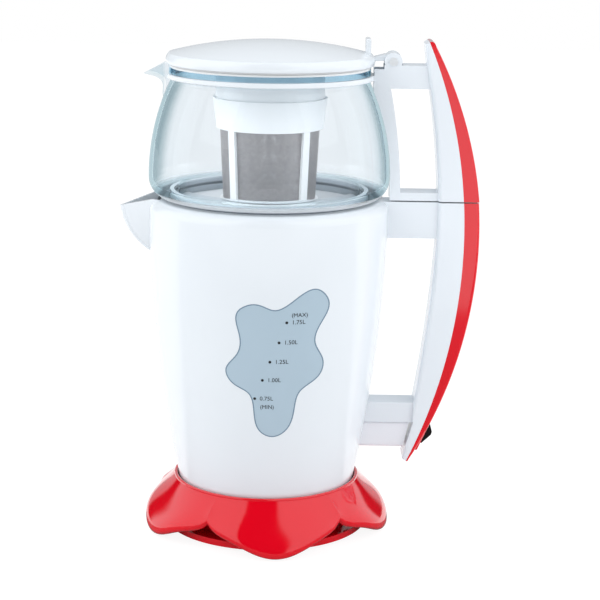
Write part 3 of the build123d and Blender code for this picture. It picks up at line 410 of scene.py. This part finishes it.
def on_side(x, z, proud=INK_PROUD):
    """Point on the front of the kettle's side, from mm to metres."""
    r = kettle_r(z) + proud
    return Vector((x, -sqrt(r**2 - x**2), z)) * MM


def new_piece(name, vertices, faces, material, body, slot):
    mesh = bpy.data.meshes.new(name)
    mesh.from_pydata(vertices, [], faces)
    mesh.materials.append(material)
    piece = bpy.data.objects.new(name, mesh)
    scene.collection.objects.link(piece)
    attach(piece, body)


# --- level marks: a dot and a number each, printed on the window ---------------
MARKS = [  # x and height of the dot
    (14.4, 169.6, "1.75L"),
    (9.3, 155.4, "1.50L"),
    (3.2, 141.5, "1.25L"),
    (-1.8, 128.2, "1.00L"),
    (-7.0, 114.6, "0.75L"),
]
LIMITS = [(17.6, 174.6, "(MAX)"), (-3.4, 108.4, "(MIN)")]  # left end and height
DOT_R = 1.0
DOT_CORNERS = 12
NUMBER_AFTER = 3.4
NUMBER_SIZE = 4.2
LIMIT_SIZE = 4.0
LETTER_STEPS = 3


def printed(text, x, z, size):
    """Vertices and faces of a word laid on the kettle's side, its left end at x."""
    curve = bpy.data.curves.new("word", "FONT")
    curve.body = text
    curve.size = size
    curve.resolution_u = LETTER_STEPS
    curve.align_y = "CENTER"
    word = bpy.data.objects.new("word", curve)
    scene.collection.objects.link(word)
    bpy.context.view_layer.update()
    mesh = bpy.data.meshes.new_from_object(word)
    vertices = [on_side(x + v.co.x, z + v.co.y) for v in mesh.vertices]
    faces = [tuple(f.vertices) for f in mesh.polygons]
    bpy.data.objects.remove(word)
    return vertices, faces


def dot(x, z):
    steps = [2 * pi * k / DOT_CORNERS for k in range(DOT_CORNERS)]
    vertices = [on_side(x + DOT_R * cos(t), z + DOT_R * sin(t)) for t in steps]
    return vertices, [tuple(range(DOT_CORNERS))]


def merged(shapes):
    """Vertices and faces of several shapes as one."""
    vertices, faces = [], []
    for more, rings in shapes:
        faces += [tuple(i + len(vertices) for i in ring) for ring in rings]
        vertices += more
    return vertices, faces


shapes = []
for x, z, label in MARKS:
    shapes.append(dot(x, z))
    shapes.append(printed(label, x + NUMBER_AFTER, z, NUMBER_SIZE))
for x, z, label in LIMITS:
    shapes.append(printed(label, x, z, LIMIT_SIZE))
new_piece("gauge_marks", *merged(shapes), INK, "kettle", "black_plastic")


# --- dark line round the window, just inside its edge -------------------------
LINE_WIDTH = 0.8
LINE_PROUD = 0.06
OUTER_WITHIN = 0.5  # faces further than this inside the kettle's side are left out
WELD = 1e-5  # metres


def front_outline(node):
    """Closed outline of a node's outer face, as x and z in mm, in order."""
    body = bmesh.new()
    body.from_mesh(node.data)
    bmesh.ops.remove_doubles(body, verts=body.verts, dist=WELD)
    hidden = [
        face
        for face in body.faces
        if max(kettle_r(v.co.z / MM) - v.co.xy.length / MM for v in face.verts) > OUTER_WITHIN
    ]
    bmesh.ops.delete(body, geom=hidden, context="FACES")
    start = next(edge for edge in body.edges if edge.is_boundary).verts[0]
    here, last, line = start, None, []
    while here is not start or not line:
        line.append((here.co.x / MM, here.co.z / MM))
        last = next(edge for edge in here.link_edges if edge.is_boundary and edge is not last)
        here = last.other_vert(here)
    body.free()
    return line


def edge_line(line, width):
    """Ribbon of a width along the inside of a closed outline."""
    count = len(line)
    turn = sum(line[k - 1][0] * line[k][1] - line[k][0] * line[k - 1][1] for k in range(count))
    inwards = width if turn > 0 else -width
    vertices, faces = [], []
    for k, (x, z) in enumerate(line):
        back, ahead = Vector(line[k - 1]), Vector(line[(k + 1) % count])
        along = (ahead - back).normalized() * inwards
        vertices += [on_side(x, z, LINE_PROUD), on_side(x - along.y, z + along.x, LINE_PROUD)]
        after = 2 * ((k + 1) % count)
        faces.append((2 * k, 2 * k + 1, after + 1, after))
    return vertices, faces


window_edge = edge_line(front_outline(NODES["gauge_window"]), LINE_WIDTH)
new_piece("gauge_edge", *window_edge, LINE, "kettle", "gauge_plastic")


# --- stage --------------------------------------------------------------------
STAGE_SIZE = 8
STAGE_TONE = (0.9, 0.9, 0.9)
STAGE_ROUGH = 0.6
STAGE_GLOW = 1.14
GLOW_SHARE = 0.8
STRIP_PLACE = (-0.345, 0.365)  # y of its middle and half its width
STRIP_TONE = (0.05, 0.05, 0.05)


def stage_material():
    """White to the camera with the object's shadow kept; a strip in front mirrors dark."""
    mat = Mat("floor")
    mat.set(Base_Color=STAGE_TONE, Roughness=STAGE_ROUGH)
    strip = mat.math("COMPARE", mat.split(mat.place)[1], *STRIP_PLACE)
    mirrored = mat.math("GREATER_THAN", mat.rays("Is Glossy Ray"), mat.rays("Is Transmission Ray"))
    dark = mat.math("MULTIPLY", strip, mirrored)
    glow = mat.node("ShaderNodeEmission")
    mat.feed(mat.mix(dark, BLANK, STRIP_TONE), glow.inputs["Color"])
    mat.feed(STAGE_GLOW, glow.inputs["Strength"])
    looked_at = mat.rays("Is Camera Ray", "Is Transmission Ray", "Is Glossy Ray")
    surface = mat.node("ShaderNodeMixShader")
    mat.feed(mat.math("MULTIPLY", looked_at, GLOW_SHARE), surface.inputs["Fac"])
    mat.feed(mat.shader.outputs[0], surface.inputs[1])
    mat.feed(glow.outputs[0], surface.inputs[2])
    mat.feed(surface.outputs[0], mat.output.inputs["Surface"])
    return mat.material


bpy.ops.mesh.primitive_plane_add(size=STAGE_SIZE)
floor = bpy.context.object
floor.name = "floor"
floor.data.materials.append(stage_material())

# --- light tent: degrees from -y towards x, and the level there -----------------
TENT = [
    (-180, 0.55),
    (-142, 0.55),
    (-139, 0.02),
    (-131.5, 0.02),
    (-128.5, 1.0),
    (-31, 1.0),
    (-27, 0.01),
    (18, 0.01),
    (22, 1.0),
    (139.5, 1.0),
    (141.5, 0.02),
    (148, 0.02),
    (150, 0.55),
    (180, 0.55),
]
WALL = (0.90, 0.93, 0.96)
DAYLIGHT = (0.71, 0.715, 0.72)


def tent(graph):
    """Walls round the object by direction; the camera stands in the gap ahead."""
    x, y = graph.split(graph.node("ShaderNodeTexCoord").outputs["Generated"])[:2]
    around = graph.math("ARCTAN2", x, graph.math("MULTIPLY", y, -1))
    stops = [((degrees + 180) / 360, [level * c for c in WALL]) for degrees, level in TENT]
    return graph.ramp(graph.ranged(around, (-pi, pi)), stops)


def studio():
    """White to the camera, the tent to glossy rays and even daylight to the rest."""
    world = bpy.data.worlds.new("studio")
    world.use_nodes = True
    graph = Graph(world.node_tree)
    lit = graph.mix(graph.rays("Is Glossy Ray"), DAYLIGHT, tent(graph))
    shown = graph.mix(graph.rays("Is Camera Ray", "Is Transmission Ray"), lit, BLANK)
    graph.feed(shown, graph.tree.nodes["Background"].inputs["Color"])
    return world


scene.world = studio()


# --- lamps: place, the point each faces, width and height, power ----------------
LAMPS = {
    "left_box": ((-1.25, -0.8, 1.2), (0, 0, 0.12), (1.1, 1.3), 9.5),
    "right_box": ((1.25, -0.8, 1.2), (0, 0, 0.12), (1.1, 1.3), 9),
    "left_strip": ((-1.4, 0.1, 0.5), (0, 0, 0.2), (0.6, 1.2), 3.7),
    "right_strip": ((1.4, 0.1, 0.5), (0, 0, 0.2), (0.6, 1.2), 3.7),
    "top": ((0.0, 0.4, 1.5), (0, 0, 0.1), (1.0, 1.0), 2.5),
}


def lamp(name, place, target, size, power):
    """Soft box that lights the object and isn't mirrored in it."""
    data = bpy.data.lights.new(name, "AREA")
    data.shape = "RECTANGLE"
    data.size, data.size_y = size
    data.energy = power
    light = bpy.data.objects.new(name, data)
    scene.collection.objects.link(light)
    light.location = place
    light.rotation_euler = (Vector(target) - Vector(place)).to_track_quat("-Z", "Y").to_euler()
    light.visible_glossy = False


for name, values in LAMPS.items():
    lamp(name, *values)

# --- camera: metres, mm and degrees --------------------------------------------
CAMERA_PLACE = (0.0231, -1.262, 0.458)
CAMERA_LENS = 107.65
CAMERA_FILM = 36.0
CAMERA_DOWN = 12.99
CAMERA_ROLL = 0.868

lens = bpy.data.cameras.new("camera")
lens.lens = CAMERA_LENS
lens.sensor_width = CAMERA_FILM
camera = bpy.data.objects.new("camera", lens)
scene.collection.objects.link(camera)
camera.matrix_world = (
    Matrix.Translation(CAMERA_PLACE)
    @ Matrix.Rotation(radians(90 - CAMERA_DOWN), 4, "X")
    @ Matrix.Rotation(radians(CAMERA_ROLL), 4, "Z")
)
scene.camera = camera
